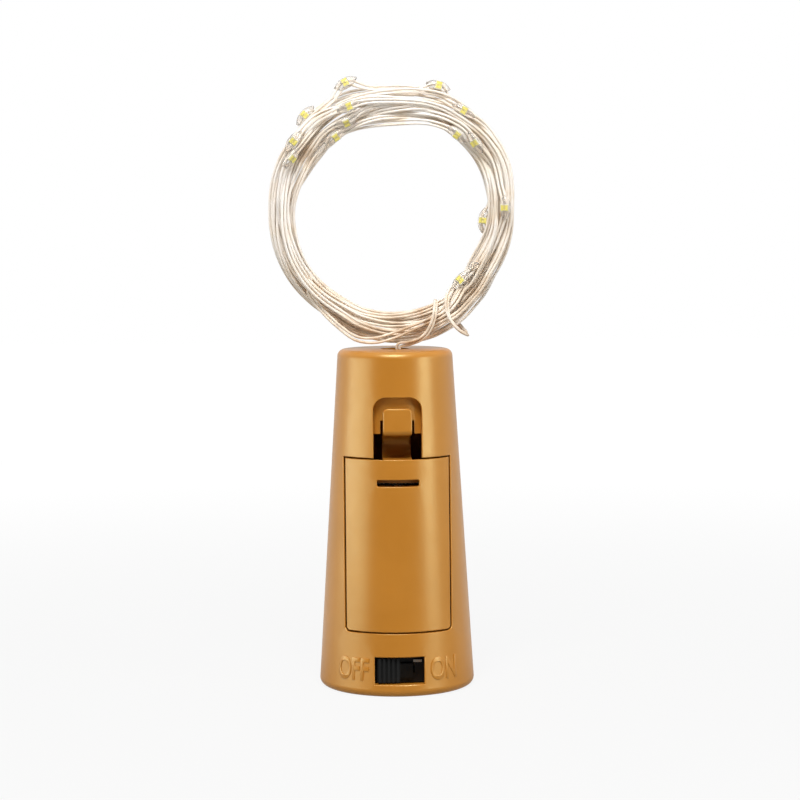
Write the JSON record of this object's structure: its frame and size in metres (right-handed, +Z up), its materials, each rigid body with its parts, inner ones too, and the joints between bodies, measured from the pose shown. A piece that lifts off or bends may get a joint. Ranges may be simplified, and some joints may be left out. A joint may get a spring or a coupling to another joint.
{
  "type": "cork bottle light",
  "caption": "Cork-coloured tapered battery plug with a hinged door, thumb latch and slide switch, carrying a coiled string of tiny lamps.",
  "frame": {"origin": "centre of the wide end's flat face, on which the body stands", "axes": "+Z up along the body's axis towards the narrow end and the string, -Y out of the front with the battery door and the switch, +X to the right seen from the front"},
  "size_m": [0.0354, 0.0216, 0.085],
  "materials": {
    "cork_plastic": "satin moulded",
    "cradle_plastic": "satin moulded",
    "black_plastic": "satin moulded",
    "blackened_steel": "black, bare along the lip",
    "plated_steel": "nickel-plated",
    "can_steel": "satin plated",
    "seal_nylon": "matt",
    "terminal_brass": "tinned",
    "lead_vinyl_red": "satin",
    "lead_vinyl_black": "satin",
    "resistor_enamel": "glossy",
    "hot_melt_glue": "waxy",
    "string_wire": "enamelled, silver-champagne",
    "lamp_resin": "clear",
    "lamp_chip": "satin"
  },
  "bodies": {
    "body": {"shell": "cork_plastic", "end_cap": "cork_plastic", "cradle": "cradle_plastic", "switch_base": "black_plastic", "switch_frame": "blackened_steel", "positive_contact": "plated_steel", "spring_plate": "plated_steel", "contact_spring": "plated_steel", "cell_1_can": "can_steel", "cell_2_can": "can_steel", "cell_3_can": "can_steel", "cell_1_cap": "can_steel", "cell_2_cap": "can_steel", "cell_3_cap": "can_steel", "cell_1_seal": "seal_nylon", "cell_2_seal": "seal_nylon", "cell_3_seal": "seal_nylon", "switch_terminals": "terminal_brass", "positive_lead": "lead_vinyl_red", "switch_lead": "lead_vinyl_red", "spring_lead": "lead_vinyl_black", "resistor": "resistor_enamel", "wire_anchor": "hot_melt_glue", "wire_coil": "string_wire", "wire_lead": "string_wire", "led_beads": "lamp_resin", "led_chips": "lamp_chip"},
    "knob": {"switch_knob": "black_plastic", "switch_wiper": "plated_steel"},
    "door": {"battery_door": "cork_plastic"},
    "latch": {"door_latch": "cork_plastic"}
  },
  "joints": [
    {"name": "switch_slide", "type": "slide", "parent": "body", "child": "knob", "axis": [1, 0, 0], "range_m": [0, 0.00295]},
    {"name": "door_hinge", "type": "hinge", "parent": "body", "child": "door", "pos_m": [0, -0.0103, 0.0088], "axis": [1, 0, 0], "range_deg": [0, 50]},
    {"name": "latch_flex", "type": "hinge", "parent": "door", "child": "latch", "pos_m": [0, -0.00295, 0.03395], "axis": [1, 0, 0], "range_deg": [0, 8], "stiffness_Nm_per_rad": 0.002}
  ]
}
